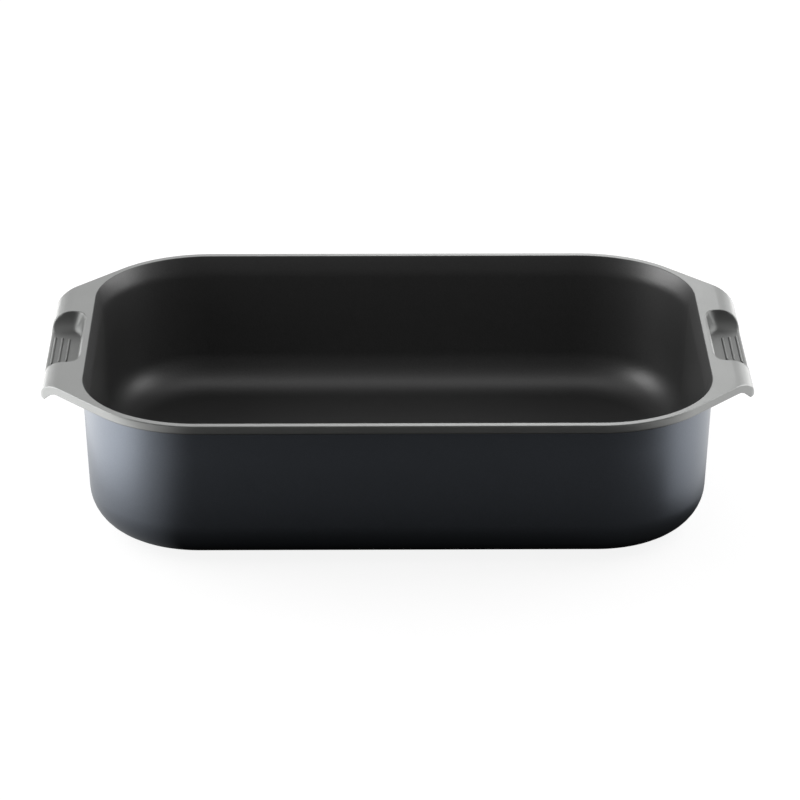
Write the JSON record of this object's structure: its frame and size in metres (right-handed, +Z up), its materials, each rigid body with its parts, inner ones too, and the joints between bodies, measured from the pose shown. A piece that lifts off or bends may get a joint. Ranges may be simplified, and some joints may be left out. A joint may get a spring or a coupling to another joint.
{
  "type": "roasting pan",
  "caption": "Deep rounded rectangular cast roasting pan with a flat rim, wide flange handles with scooped ribbed finger recesses, a dark lining and a lacquered outside.",
  "frame": {"origin": "middle of the ground base, in the plane that the pan stands on", "axes": "+Z up, +X along the pan from handle to handle, +Y across the pan"},
  "size_m": [0.3974, 0.2586, 0.0862],
  "materials": {
    "cast_aluminium": "satin bare casting, ground on the base",
    "nonstick_coating": "black satin non-stick coating with a faint grain",
    "outer_lacquer": "anthracite satin lacquer with a fine metallic flake"
  },
  "bodies": {
    "root": {"cast_body": "cast_aluminium", "nonstick_lining": "nonstick_coating", "outer_lacquer": "outer_lacquer"}
  },
  "joints": []
}
